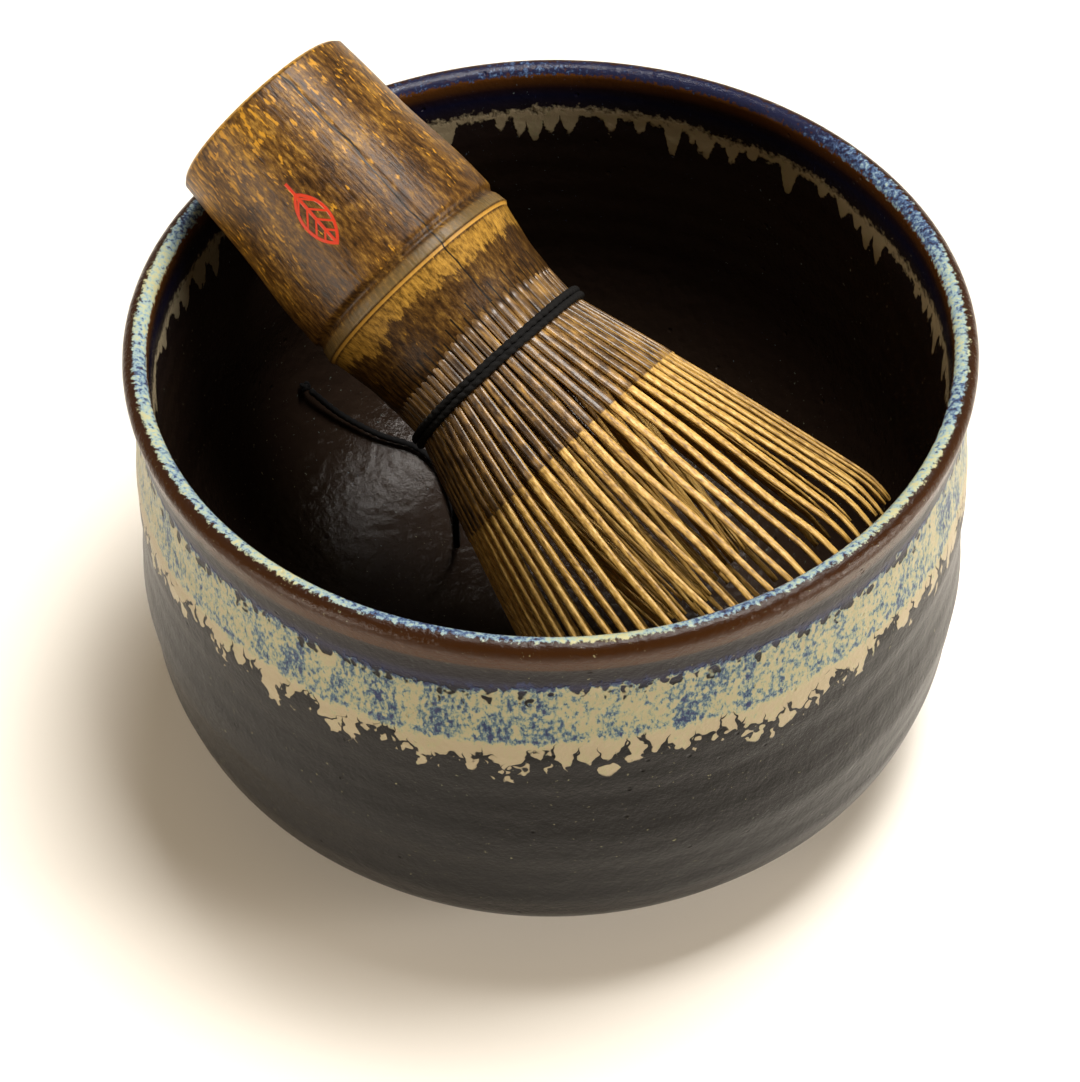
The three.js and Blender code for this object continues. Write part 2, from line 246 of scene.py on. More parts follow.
def make_studio():
    """A white board under soft boxes, in a room that is pale at the horizon and dimmer overhead."""
    world = bpy.data.worlds.new("studio")
    world.use_nodes = True
    add = partial(add_node, world.node_tree)
    up = add("SeparateXYZ", [add("TexCoord").outputs["Generated"]]).outputs["Z"]
    height = add("MapRange", [up, 0.0, HORIZON_BAND])
    low, high = linear("#fffaf2"), linear("#ffdfae")
    colour = add("Mix", {"Factor": height, "A": low, "B": high}, data_type="RGBA")
    strength = add("MapRange", [height, 0, 1, HORIZON_STRENGTH, WORLD_STRENGTH])
    set_inputs(world.node_tree.nodes["Background"], {"Color": colour, "Strength": strength})
    bpy.context.scene.world = world
    bpy.context.scene.view_settings.view_transform = "Standard"
    make_light("key_box", (140, 75, 710), (300, 270), 8.0, "#fffaf4")
    make_light("left_box", (-430, -330, 130), (110, 200), 1.6, "#fff1e0")
    make_light("right_box", (520, -170, 120), (100, 220), 2.8, "#fff4e8")
    half = FLOOR_SIZE / 2
    corners = [(-half, -half, 0), (half, -half, 0), (half, half, 0), (-half, half, 0)]
    new_piece("floor", corners, [(0, 1, 2, 3)], white_board())


def white_board():
    """Matt white board under the object."""
    material, _, shader = new_material("white board")
    set_inputs(shader, {"Base Color": linear("#f6f3ec"), "Roughness": 0.9})
    return material


# ---------------------------------------------------------------- the bowl

BOWL_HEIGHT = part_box("bowl")[1].z / MM
BELLY_RADIUS = 61.3
LIP_RADIUS = 60
LIP_ROLL = 1.75
NECK_RADIUS = 59.2
NECK_DROP = 8
HIP_ROUND = 19
FOOT_RADIUS = 30
FOOT_WIDTH = 5
FOOT_HEIGHT = 5
FOOT_HOLLOW = 3.5
FOOT_EDGE = 1  # rounding of the foot ring's edges
WALL = 5.3
INSIDE_ROUND = 27
FLOOR_HEIGHT = 12.5
BOWL_COLUMNS = 288
BOWL_STEP = 1.1

# Glaze and thrown rings, as runs along the surface from the crown of the lip: outwards is positive.
GLAZE_END = 100  # the foot beyond it is bare clay
RIDGE_RUN = 44
RIDGE_WIDTH = 5
RIDGE_PROUD = 0.5
GROOVE_RUN = 32
GROOVE_WIDTH = 6
GROOVE_DEEP = 0.6
FINGER_PITCH = 5.2  # between the fine rings that the potter's fingers leave
SMOOTH_LIP = 6  # stretch on each side of the crown without rings
SMOOTH_FOOT = 12


def bowl_outline():
    """The outline from the middle of the underside, round the wall, to the middle of the floor."""
    lip_centre = BOWL_HEIGHT - LIP_ROLL
    hip_top = FOOT_HEIGHT + HIP_ROUND
    neck = BOWL_HEIGHT - NECK_DROP
    inside = BELLY_RADIUS - WALL
    inner_foot = FOOT_RADIUS - FOOT_WIDTH
    belly = [(BELLY_RADIUS, hip_top), (BELLY_RADIUS, (hip_top + neck) / 2)]
    wall = [*belly, (NECK_RADIUS, neck), (LIP_RADIUS, lip_centre)]
    parts = [
        [(0, FOOT_HOLLOW), (inner_foot - FOOT_EDGE, FOOT_HOLLOW), (inner_foot, FOOT_HOLLOW - FOOT_EDGE)],
        arc((inner_foot + FOOT_EDGE, FOOT_EDGE), FOOT_EDGE, 180, 270, 0.4),
        arc((FOOT_RADIUS - FOOT_EDGE, FOOT_EDGE), FOOT_EDGE, 270, 360, 0.4),
        [(FOOT_RADIUS, FOOT_HEIGHT - 2 * FOOT_EDGE), (FOOT_RADIUS + FOOT_EDGE, FOOT_HEIGHT)],
        arc((BELLY_RADIUS - HIP_ROUND, hip_top), HIP_ROUND, 270, 360, BOWL_STEP),
        smooth_path(wall, BOWL_STEP)[1:],
        arc((LIP_RADIUS - LIP_ROLL, lip_centre), LIP_ROLL, 0, 180, 0.3)[1:],
        arc((inside - INSIDE_ROUND, FLOOR_HEIGHT + INSIDE_ROUND), INSIDE_ROUND, 0, -90, BOWL_STEP),
        [(0, FLOOR_HEIGHT)],
    ]
    return np.vstack([np.asarray(part, float) for part in parts])


def even_outline(outline, step):
    """The outline with points added where two are further apart than the step."""
    dense = [outline[:1]]
    for a, b in zip(outline, outline[1:]):
        count = max(1, math.ceil(np.linalg.norm(b - a) / step))
        dense.append(a + (b - a) * np.linspace(0, 1, count + 1)[1:, None])
    return np.vstack(dense)


def runs_from_crown(outline):
    """Length along the outline from the crown of the lip, outwards positive."""
    lengths = np.concatenate([[0], np.cumsum(np.linalg.norm(np.diff(outline, axis=0), axis=1))])
    return lengths[np.argmax(outline[:, 1])] - lengths


def make_bowl():
    outline = even_outline(bowl_outline(), BOWL_STEP)
    points, faces = turned(outline, BOWL_COLUMNS)
    runs = runs_from_crown(outline)
    run = np.concatenate([np.repeat(runs[1:-1], BOWL_COLUMNS), [runs[0], runs[-1]]])
    angle = np.arctan2(points[:, 1], points[:, 0])
    bowl = new_piece("tea_bowl", thrown(points, run, angle), faces, tenmoku_glaze())
    around = np.stack([LIP_RADIUS * np.cos(angle), LIP_RADIUS * np.sin(angle), run], -1)
    set_attribute(bowl, "round_the_bowl", around)
    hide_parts("bowl")
    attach(bowl, "bowl")


def thrown(points, run, angle):
    """Gives turned points the soft ridges and the small unevenness of a bowl thrown by hand."""
    outside = np.clip(run / SMOOTH_LIP, 0, 1) * np.clip((GLAZE_END - run) / SMOOTH_FOOT, 0, 1)
    inside = np.clip(-run / SMOOTH_LIP, 0, 1)
    around = angle / TURN
    wander = 1.2 * np.sin(angle + 0.6) + 0.6 * np.sin(2 * angle + 2)
    ridge = np.exp(-(((run - RIDGE_RUN - wander) / RIDGE_WIDTH) ** 2))
    groove = np.exp(-(((run - GROOVE_RUN - wander) / GROOVE_WIDTH) ** 2))
    fine = 0.05 * np.sin(TURN * run / FINGER_PITCH + 2 * np.sin(angle))
    lump = 0.1 * (np.sin(3 * angle + run / 11) + np.sin(5 * angle - run / 7 + 1) * 0.6)
    swell = outside * (RIDGE_PROUD * ridge - GROOVE_DEEP * groove + fine + lump) + inside * (fine + lump)
    drop = 0.25 * np.sin(2 * angle + 0.4) + 0.12 * np.sin(5 * angle + around)
    near_lip = np.clip(1 - np.abs(run) / 14, 0, 1)
    radius = np.maximum(np.hypot(points[:, 0], points[:, 1]), 1e-9)
    outward = np.stack([points[:, 0] / radius, points[:, 1] / radius, np.zeros(len(points))], -1)
    steep = np.clip(radius / FOOT_RADIUS - 1, 0, 1)
    lift = np.stack([np.zeros(len(points))] * 2 + [np.minimum(drop, 0) * near_lip], -1)
    return points + outward * (swell * steep)[:, None] + lift


def tenmoku_glaze():
    """Iron-black tenmoku over stoneware, with a cream and blue rice-straw ash glaze poured round the lip.

    The black breaks to amber where it runs thin over the lip, the ash glaze is speckled blue and ends in
    thick beige drips with black channels between them, and the skin is satin outside and glossy inside.
    """
    material, add, shader = new_material("tenmoku and ash glaze on stoneware")
    place = add("Attribute", attribute_name="round_the_bowl").outputs["Vector"]
    run = add("SeparateXYZ", [place]).outputs["Z"]

    # Slow drift of the bands up and down round the bowl, of about 1 mm.
    drift_noise = add("TexNoise", {"Vector": place, "Scale": 1 / 24, "Detail": 2})
    drift = add("MapRange", [drift_noise, 0, 1, -2.6, 2.6])
    level = add("Math ADD", [run, drift])
    inner_level = add("Math MULTIPLY", [level, -1])
    fine = add("TexNoise", {"Vector": place, "Scale": 1 / 1.1, "Detail": 2, "Roughness": 0.6})
    wobble = add("MapRange", [fine, 0, 1, -2.0, 2.0])

    # Rounded drips of about 4 mm: the glaze reaches furthest down the middle of each.
    flat_place = add("VectorMath MULTIPLY", [place, (1, 1, 0.2)])
    lobes = add("TexVoronoi", {"Vector": flat_place, "Scale": 1 / 4.6}, feature="F1")
    lobe = add("MapRange", [lobes, 0.1, 0.75, 0, 4.2])
    down_lobe = add("Math ADD", [level, lobe])

    # Wormy black channels between the drips, long down the wall and bent by noise.
    bend_noise = add("TexNoise", {"Vector": place, "Scale": 1 / 1.8, "Detail": 1})
    bend = add("VectorMath SCALE", {0: bend_noise.outputs["Color"], 3: 2.4})
    long_place = add("VectorMath MULTIPLY", [place, (1, 1, 0.42)])
    bent_place = add("VectorMath ADD", [long_place, bend])
    cells = add("TexVoronoi", {"Vector": bent_place, "Scale": 1 / 2.9}, feature="DISTANCE_TO_EDGE")

    # Outside: the edge of the drips, and the channels that open towards it.
    outer_edge = add("Math MULTIPLY_ADD", [wobble, 0.22, down_lobe])
    above_edge = add("MapRange", [outer_edge, 29.2, 28.9])
    opening = add("MapRange", [down_lobe, 23.4, 29.5, -0.05, 0.25])
    between = add("Math SUBTRACT", [cells, opening])
    unchannelled = add("MapRange", [between, -0.01, 0.02])
    outer_drips = add("Math MULTIPLY", [above_edge, unchannelled])

    # Top of the ash glaze: an uneven line, with a row of small dark pits below it.
    ragged_level = add("Math MULTIPLY_ADD", [wobble, 0.9, level])
    below_top = add("MapRange", [ragged_level, 9.3, 9.7])
    pit_place = add("VectorMath MULTIPLY", [bent_place, (1.0, 1.0, 1.3)])
    pits = add("TexVoronoi", {"Vector": pit_place, "Scale": 1 / 2.1}, feature="F1")
    in_pit_row = add("MapRange", [level, 11.0, 13.4, 0.42, 0.0])
    pit_spare = add("Math SUBTRACT", [pits, in_pit_row])
    unpitted = add("MapRange", [pit_spare, -0.02, 0.06])
    outer_top = add("Math MULTIPLY", [below_top, unpitted])
    outer_ash = add("Math MULTIPLY", [outer_drips, outer_top])

    # Inside: a narrower band that ends in short fingers.
    finger_place = add("VectorMath MULTIPLY", [place, (1, 1, 0.1)])
    fingers = add("TexVoronoi", {"Vector": finger_place, "Scale": 1 / 2.9}, feature="F1")
    finger = add("MapRange", [fingers, 0.15, 0.6, -0.6, 4.4])
    down_finger = add("Math ADD", [inner_level, finger])
    finger_edge = add("Math MULTIPLY_ADD", [wobble, 0.7, down_finger])
    inner_drips = add("MapRange", [finger_edge, 14.9, 14.4])
    inner_ragged = add("Math ADD", [inner_level, wobble])
    inner_top = add("MapRange", [inner_ragged, 8.2, 9.4])
    inner_ash = add("Math MULTIPLY", [inner_drips, inner_top])
    side = add("MapRange", [run, -0.5, 0.5])
    ash_share = add("Mix", {"Factor": side, "A": inner_ash, "B": outer_ash}, data_type="FLOAT")

    # Black ground: near black inside, warmer and paler outside, amber where it breaks over the lip.
    ground = add(
        "ValToRGB",
        [add("MapRange", [run, -20, 20])],
        stops=[
            (0.0, "#241b15"), (0.28, "#1e1818"), (0.35, "#0f1024"), (0.385, "#1a1116"),
            (0.41, "#3c2410"), (0.45, "#4d2d10"), (0.51, "#2a1a12"), (0.54, "#301a08"),
            (0.59, "#3a2109"), (0.61, "#3b220e"), (0.627, "#3a220c"), (0.64, "#1a1615"),
            (0.70, "#19171b"), (0.735, "#1d1d33"), (0.78, "#0a0807"),
        ],
    )

    # Deep blue where the ash glaze has run thin into the black, in streaks down the wall.
    streak_place = add("VectorMath MULTIPLY", [place, (1, 1, 0.35)])
    streaks = add("TexNoise", {"Vector": streak_place, "Scale": 1 / 0.9, "Detail": 3, "Roughness": 0.6})
    blue_band = add(
        "ValToRGB",
        [add("MapRange", [level, -20, 30])],
        stops=[
            (0.20, "#000000"), (0.25, "#a0a0a0"), (0.29, "#707070"), (0.33, "#000000"),
            (0.51, "#000000"), (0.55, "#686868"), (0.575, "#c8c8c8"), (0.605, "#c8c8c8"),
            (0.625, "#303030"), (0.64, "#000000"),
        ],
    )
    streak_bar = add("Math MULTIPLY_ADD", [blue_band, -0.45, 0.82])
    blue_spare = add("Math SUBTRACT", [streaks, streak_bar])
    blue_share = add("MapRange", [blue_spare, -0.02, 0.14])
    blued = add("Mix", {"Factor": blue_share, "A": ground, "B": linear("#232a4c")}, data_type="RGBA")

    # The ash glaze itself: beige, speckled with blue down to the line where the drips begin.
    grain_place = add("VectorMath MULTIPLY", [place, (1, 1, 0.6)])
    grain = add("TexNoise", {"Vector": grain_place, "Scale": 1 / 0.62, "Detail": 3, "Roughness": 0.66})
    patches = add("TexNoise", {"Vector": streak_place, "Scale": 1 / 3.5, "Detail": 2})
    speckle_level = add("MapRange", [level, 9, 22.5])
    speckle_share = add(
        "ValToRGB",
        [speckle_level],
        stops=[
            (0.0, "#c0c0c0"), (0.12, "#8c8c8c"), (0.5, "#929292"), (0.68, "#909090"),
            (0.78, "#9c9c9c"), (0.84, "#808080"), (0.9, "#303030"),
        ],
    )
    outer_share = add("Math MULTIPLY", [speckle_share, side])
    varied = add("Math MULTIPLY_ADD", [patches, 0.6, grain])
    speckled = add("Math MULTIPLY_ADD", [outer_share, -1.1, varied])
    speckled_part = add("MapRange", [speckled, 0.3, 0.8])
    ash_stops = [(0.0, "#222c4e"), (0.2, "#435a6b"), (0.36, "#7a8473"), (0.5, "#949070"), (0.9, "#978c73")]
    ash = add("ValToRGB", [speckled_part], stops=ash_stops)
    ashed = add("Mix", {"Factor": ash_share, "A": blued, "B": ash}, data_type="RGBA")

    # Crown of the lip, on its inner half: pale blue and cream speckle, darker towards the back.
    off_crown = add("Math ADD", [run, 1.0])
    crown_at = add("Math ABSOLUTE", [off_crown])
    crown_edge = add("MapRange", [crown_at, 0.7, 1.7, 0.3, 0.72])
    speckle = add("TexNoise", {"Vector": place, "Scale": 1 / 0.7, "Detail": 3, "Roughness": 0.65})
    crown_spare = add("Math SUBTRACT", [speckle, crown_edge])
    crown = add("MapRange", [crown_spare, -0.04, 0.1])
    quarter = add("SeparateXYZ", [place]).outputs["Y"]
    to_back = add("MapRange", [quarter, 10, 58, 0, 0.34])
    turn_noise = add("TexNoise", {"Vector": place, "Scale": 1 / 30, "Detail": 1})
    crown_noise = add("Math ADD", [turn_noise, speckle])
    crown_mix = add("Math SUBTRACT", [crown_noise, to_back])
    crown_fac = add("MapRange", [crown_mix, 0.6, 1.3])
    blues = [(0.15, "#1d2038"), (0.36, "#43587a"), (0.52, "#7f97a0")]
    creams = [(0.66, "#98a694"), (0.82, "#aba882")]
    crown_colour = add("ValToRGB", [crown_fac], stops=blues + creams)
    glazed = add("Mix", {"Factor": crown, "A": ashed, "B": crown_colour}, data_type="RGBA")

    # Bare clay on the foot.
    bare = add("MapRange", [run, GLAZE_END - 0.4, GLAZE_END + 0.4])
    clay_noise = add("TexNoise", {"Vector": place, "Scale": 1 / 1.5, "Detail": 5})
    clay = add("ValToRGB", [clay_noise], stops=[(0.3, "#4c3a2c"), (0.7, "#705a46")])
    whole = add("Mix", {"Factor": bare, "A": glazed, "B": clay}, data_type="RGBA")

    # Gloss: wet inside and on the lip, satin below the drips, dry on the clay.
    rough = add(
        "ValToRGB",
        [add("MapRange", [run, -20, 110])],
        stops=[
            (0.0, "#484848"), (0.14, "#484848"), (0.155, "#404040"), (0.192, "#404040"),
            (0.205, "#a0a0a0"), (0.33, "#a8a8a8"), (0.38, "#989898"), (0.9, "#a0a0a0"),
            (0.93, "#ececec"),
        ],
    )

    # Skin: pits and grit outside, a pebbled surface inside, and the thickness of the ash glaze.
    metres = add("TexCoord").outputs["Object"]
    grit = add("TexNoise", {"Vector": metres, "Scale": 1 / (0.7 * MM), "Detail": 4, "Roughness": 0.7})
    peel = add("TexNoise", {"Vector": metres, "Scale": 1 / (3.2 * MM), "Detail": 2})
    skin = add("Math MULTIPLY_ADD", [peel, 1.8, grit])
    pinholes = add("TexVoronoi", {"Vector": metres, "Scale": 1 / (5 * MM)}, feature="F1")
    hole = add("MapRange", [pinholes, 0.03, 0.09, -1.6, 0])
    pitted = add("Math ADD", [skin, hole])
    thick = add("Math MULTIPLY_ADD", [ash_share, 1.3, pitted])
    outer_bump = add("Bump", {"Height": thick, "Distance": 0.17 * MM, "Strength": 0.8})
    pebbles = add("TexVoronoi", {"Vector": metres, "Scale": 1 / (1.7 * MM)}, feature="SMOOTH_F1")
    on_floor = add("MapRange", [run, -26, -46])
    pebbled = add("Math MULTIPLY", [pebbles, on_floor])
    bump = add("Bump", {"Height": pebbled, "Distance": 0.17 * MM, "Strength": 1.0, "Normal": outer_bump})
    set_inputs(shader, {"Base Color": whole, "Roughness": rough, "Normal": bump})
    set_inputs(shader, {"IOR": 1.5, "Specular IOR Level": 0.15})
    return material


# ---------------------------------------------------------------- the whisk's frame

WHISK_LENGTH = 102.4
HANDLE_LENGTH = 44.1
HANDLE_END_RADIUS = 15.2
HANDLE_EDGE = 0.5
HANDLE_SWELL_RADIUS = 16.9
NODE_STATION = 33.2
NODE_RADIUS = 17.1
NECK_OF_HANDLE_RADIUS = 15.2
DIAPHRAGM = 2.5
BORE_RADIUS = 11.5
THREAD_STATION = 50
PINCH_RADIUS = 15.0
FAN_RADIUS = 29.9
HANDLE_MOUNT_RADIUS = 13.2


def whisk_frame():
    """The whisk's own frame: +Z along its axis to the tips, +Y down, and the cut end at its origin."""
    mount = next(m for m in frame["record"]["mounts"] if m["name"] == "handle_end")
    along = -Vector(mount["axis"]).normalized()
    side = along.cross(Vector((0, 0, 1))).normalized()
    down = along.cross(side)
    cut_end = Vector(mount["pos_m"]) - side * HANDLE_MOUNT_RADIUS * MM
    turn = Matrix((side, down, along)).transposed().to_4x4()
    return Matrix.Translation(cut_end) @ turn


WHISK = whisk_frame()


def lay_whisk_piece(piece, *nodes, slot, culm=True):
    """Puts a piece made in the whisk's own frame where the whisk lies, and ties it to its body."""
    if culm:
        co = np.empty(len(piece.data.vertices) * 3)
        piece.data.vertices.foreach_get("co", co)
        set_attribute(piece, "in_the_culm", co / MM)
    piece.data.transform(WHISK)
    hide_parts(*nodes)
    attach(piece, "whisk")


# ---------------------------------------------------------------- the handle

HANDLE_COLUMNS = 240
HANDLE_STEP = 0.45
SLITS_FROM = 46  # the tines come out of the handle's skin a little before this station
CRACK_ANGLE = math.radians(-79)
CRACK_WIDTH = 0.22
CRACK_DEEP = 0.35
LEAF_ANGLE = math.radians(-41.5)
LEAF_STATION = 18.9
LEAF_ARC = 6.2  # radius of the two arcs that outline the leaf
LEAF_SPREAD = 3.9  # from the leaf's middle to the centre of each arc
LEAF_LINE = 0.28  # half the width of its drawn lines


def handle_skin():
    """Outside of the handle: a slow swell, a groove and a sharp ridge at the node, and the neck."""
    knots = [
        (HANDLE_END_RADIUS, HANDLE_EDGE),
        (HANDLE_END_RADIUS + 0.35, 6),
        (15.9, 14),
        (HANDLE_SWELL_RADIUS - 0.2, 23),
        (HANDLE_SWELL_RADIUS, NODE_STATION - 5),
        (HANDLE_SWELL_RADIUS - 0.05, NODE_STATION - 3.3),
        (HANDLE_SWELL_RADIUS - 0.55, NODE_STATION - 2.5),
        (HANDLE_SWELL_RADIUS - 0.15, NODE_STATION - 1.7),
        (NODE_RADIUS - 0.1, NODE_STATION - 0.4),
        (NODE_RADIUS, NODE_STATION),
        (NODE_RADIUS - 0.35, NODE_STATION + 0.45),
        (NODE_RADIUS - 0.6, NODE_STATION + 1.4),
        (16.05, NODE_STATION + 3.8),
        (15.5, NODE_STATION + 7),
        (NECK_OF_HANDLE_RADIUS, HANDLE_LENGTH),
        (PINCH_RADIUS - 0.12, SLITS_FROM),
    ]
    return smooth_path(knots, HANDLE_STEP)


def make_handle():
    near, far = NODE_STATION - DIAPHRAGM / 2, NODE_STATION + DIAPHRAGM / 2
    parts = [
        [(0, near), (BORE_RADIUS, near), (BORE_RADIUS, 0), (HANDLE_END_RADIUS - HANDLE_EDGE, 0)],
        handle_skin(),
        [(PINCH_RADIUS - 0.7, SLITS_FROM - 0.1), (BORE_RADIUS, HANDLE_LENGTH), (BORE_RADIUS, far), (0, far)],
    ]
    outline = even_outline(np.vstack(parts), HANDLE_STEP)
    points, faces = turned(outline, HANDLE_COLUMNS)
    angle = np.arctan2(points[:, 1], points[:, 0])
    radius = np.hypot(points[:, 0], points[:, 1])
    skin = np.clip((radius - BORE_RADIUS) / (HANDLE_END_RADIUS - BORE_RADIUS), 0, 1)
    around = angle / TURN
    swell = 0.12 * np.sin(2 * angle + 1) + 0.06 * waves(6 * around, points[:, 2] / 40, 5)
    crack = np.exp(-(((angle - CRACK_ANGLE) * HANDLE_END_RADIUS / CRACK_WIDTH) ** 2)) * CRACK_DEEP
    scale = 1 + skin * (swell - crack) / HANDLE_END_RADIUS
    points[:, 0] *= scale
    points[:, 1] *= scale
    handle = new_piece("bamboo_handle", points, faces, smoked_bamboo())
    lay_whisk_piece(handle, "whisk_handle", slot="smoked_bamboo")


def smoked_bamboo():
    """Susudake, bamboo smoked for years under a roof: waxy dark brown skin with gold flecks on the grain."""
    material, add, shader = new_material("smoked bamboo skin")
    place = add("Attribute", attribute_name="in_the_culm").outputs["Vector"]
    parts = add("SeparateXYZ", [place])
    station = parts.outputs["Z"]
    past_node = add("Math SUBTRACT", [station, NODE_STATION])
    flat = add("VectorMath MULTIPLY", [place, (1, 1, 0)])
    radius = add("VectorMath LENGTH", [flat]).outputs["Value"]

    # Brown ground, mottled along the grain in streaks of about 0.4 by 1.5 mm, with slow clouds.
    grain_place = add("VectorMath MULTIPLY", [place, (1, 1, 0.3)])
    mottle = add("TexNoise", {"Vector": grain_place, "Scale": 1 / 0.65, "Detail": 6, "Roughness": 0.74})
    cloud = add("TexNoise", {"Vector": place, "Scale": 1 / 9, "Detail": 2})
    clouded = add("Mix", {"Factor": 0.25, "A": mottle, "B": cloud}, data_type="FLOAT")
    smoke_stops = [(0.38, "#221406"), (0.46, "#3f280d"), (0.54, "#5f4218"), (0.63, "#8c692a")]
    smoke = add("ValToRGB", [clouded], stops=smoke_stops)

    # Gold flecks, which lie on the grain and thin out towards the node.
    fleck_place = add("VectorMath MULTIPLY", [place, (1, 1, 0.34)])
    flecks = add("TexNoise", {"Vector": fleck_place, "Scale": 1 / 0.7, "Detail": 2.5, "Roughness": 0.6})
    fewer = add("MapRange", [station, 2, 32, 0.575, 0.67])
    in_cloud = add("MapRange", [cloud, 0, 1, 0.1, -0.1])
    fleck_bar = add("Math ADD", [fewer, in_cloud])
    fleck_spare = add("Math SUBTRACT", [flecks, fleck_bar])
    fleck = add("MapRange", [fleck_spare, -0.01, 0.06])
    flecked = add("Mix", {"Factor": fleck, "A": smoke, "B": linear("#a97a24")}, data_type="RGBA")

    # The ragged gold stain on the tine side of the node, then the dark neck.
    ragged = add("TexNoise", {"Vector": fleck_place, "Scale": 1 / 1.0, "Detail": 4, "Roughness": 0.7})
    slow = add("TexNoise", {"Vector": place, "Scale": 1 / 7})
    shifts = add("Math ADD", [slow, ragged])
    shift = add("MapRange", [shifts, 0.7, 1.3, -2.2, 2.2])
    stain_at = add("Math ADD", [past_node, shift])
    stain_low = add("MapRange", [past_node, 0.7, 1.0])
    stain_high = add("MapRange", [stain_at, 3.9, 3.3])
    stain = add("Math MULTIPLY", [stain_low, stain_high])
    stain_colour = add("ValToRGB", [mottle], stops=[(0.38, "#4c3610"), (0.5, "#805f24"), (0.62, "#9f7a31")])
    darker = add("MapRange", [past_node, 1.5, 4, 0, 0.42])
    necked = add("Mix", {"Factor": darker, "A": flecked, "B": linear("#170d04")}, data_type="RGBA")
    stained = add("Mix", {"Factor": stain, "A": necked, "B": stain_colour}, data_type="RGBA")

    # Node: a dark groove, a grey-beige band, and the bright scar of the leaf sheath on the ridge.
    at_node = add("MapRange", [past_node, -5, 3])
    groove_stops = [(0.2, "#000000"), (0.29, "#c0c0c0"), (0.38, "#c8c8c8")]
    ridge_stops = [(0.66, "#ffffff"), (0.69, "#ffffff"), (0.71, "#000000")]
    band = add("ValToRGB", [at_node], stops=groove_stops + ridge_stops)
    band_colour = add(
        "ValToRGB",
        [at_node],
        stops=[
            (0.25, "#1a0f06"), (0.32, "#0d0703"), (0.38, "#2a1c0c"), (0.43, "#5f5134"),
            (0.6, "#6a5a39"), (0.635, "#2b1b0a"), (0.655, "#b98b3a"), (0.69, "#c79a46"),
            (0.71, "#3a2814"),
        ],
    )
    mottled_band = add("Mix", {"Factor": 0.3, "A": band_colour, "B": smoke}, data_type="RGBA")
    banded = add("Mix", {"Factor": band, "A": stained, "B": mottled_band}, data_type="RGBA")

    # Slits between the tines: fine dark lines that start a few millimetres before the tines come free.
    angle = add("Math ARCTAN2", [parts.outputs["Y"], parts.outputs["X"]])
    turns = add("Math MULTIPLY", [angle, OUTER_TINES / TURN])
    in_step = add("Math PINGPONG", [turns, 0.5])
    to_slit = add("Math MULTIPLY", [in_step, math.pi / OUTER_TINES * 2 * PINCH_RADIUS])
    slit_line = add("MapRange", [to_slit, 0.17, 0.07])
    slit_number = add("Math ROUND", [turns])
    slit_chance = add("TexWhiteNoise", {"W": slit_number}, noise_dimensions="1D")
    slit_start = add("MapRange", [slit_chance, 0, 1, HANDLE_LENGTH - 3.2, HANDLE_LENGTH - 0.4])
    past_start = add("Math GREATER_THAN", [station, slit_start])
    slit = add("Math MULTIPLY", [slit_line, past_start])
    slitted = add("Mix", {"Factor": slit, "A": banded, "B": linear("#0a0602")}, data_type="RGBA")

    # The crack along the grain: a fine dark line.
    off = add("Math SUBTRACT", [angle, CRACK_ANGLE])
    waver = add("MapRange", [cloud, 0, 1, -0.07, 0.07])
    off_line = add("Math ADD", [off, waver])
    off_crack = add("Math MULTIPLY", [off_line, radius])
    aside = add("Math ABSOLUTE", [off_crack])
    crack = add("MapRange", [aside, 0.2, 0.07])
    cracked = add("Mix", {"Factor": crack, "A": slitted, "B": linear("#0c0602")}, data_type="RGBA")

    # A plain red leaf branded on the skin: an outline between two circles, a midrib, veins and a stem.
    leaf_off = add("Math SUBTRACT", [angle, LEAF_ANGLE])
    across = add("Math MULTIPLY", [leaf_off, radius])
    along = add("Math SUBTRACT", [station, LEAF_STATION])
    leaf_place = add("CombineXYZ", {"X": across, "Y": along})
    reaches = []
    for centre in (-LEAF_SPREAD, LEAF_SPREAD):
        away = add("VectorMath DISTANCE", [leaf_place, (centre, 0, 0)])
        reaches.append(add("Math SUBTRACT", [away.outputs["Value"], LEAF_ARC]))
    outline = add("Math MAXIMUM", [reaches[0], reaches[1]])
    inset = add("Math ADD", [outline, LEAF_LINE])
    line = add("Math ABSOLUTE", [inset])
    middle = add("Math ABSOLUTE", [across])
    rib = add("Math MAXIMUM", [middle, inset])
    slanted = add("Math MULTIPLY_ADD", [middle, -1.1, along])
    to_vein = add("Math PINGPONG", [slanted, 0.95])
    veins = add("Math MAXIMUM", [to_vein, inset])
    past_foot = add("Math SUBTRACT", [along, -5.2])
    from_stem = add("Math ABSOLUTE", [past_foot])
    past_stem = add("Math SUBTRACT", [from_stem, 1.1])
    stem = add("Math MAXIMUM", [middle, past_stem])
    inner_lines = add("Math MINIMUM", [rib, veins])
    outer_lines = add("Math MINIMUM", [line, stem])
    drawn = add("Math MINIMUM", [inner_lines, outer_lines])
    leaf = add("MapRange", [drawn, LEAF_LINE, LEAF_LINE - 0.1])
    outside = add("Math GREATER_THAN", [radius, BORE_RADIUS + 2])
    leaf_share = add("Math MULTIPLY", [leaf, outside])
    marked = add("Mix", {"Factor": leaf_share, "A": cracked, "B": linear("#b5331a")}, data_type="RGBA")

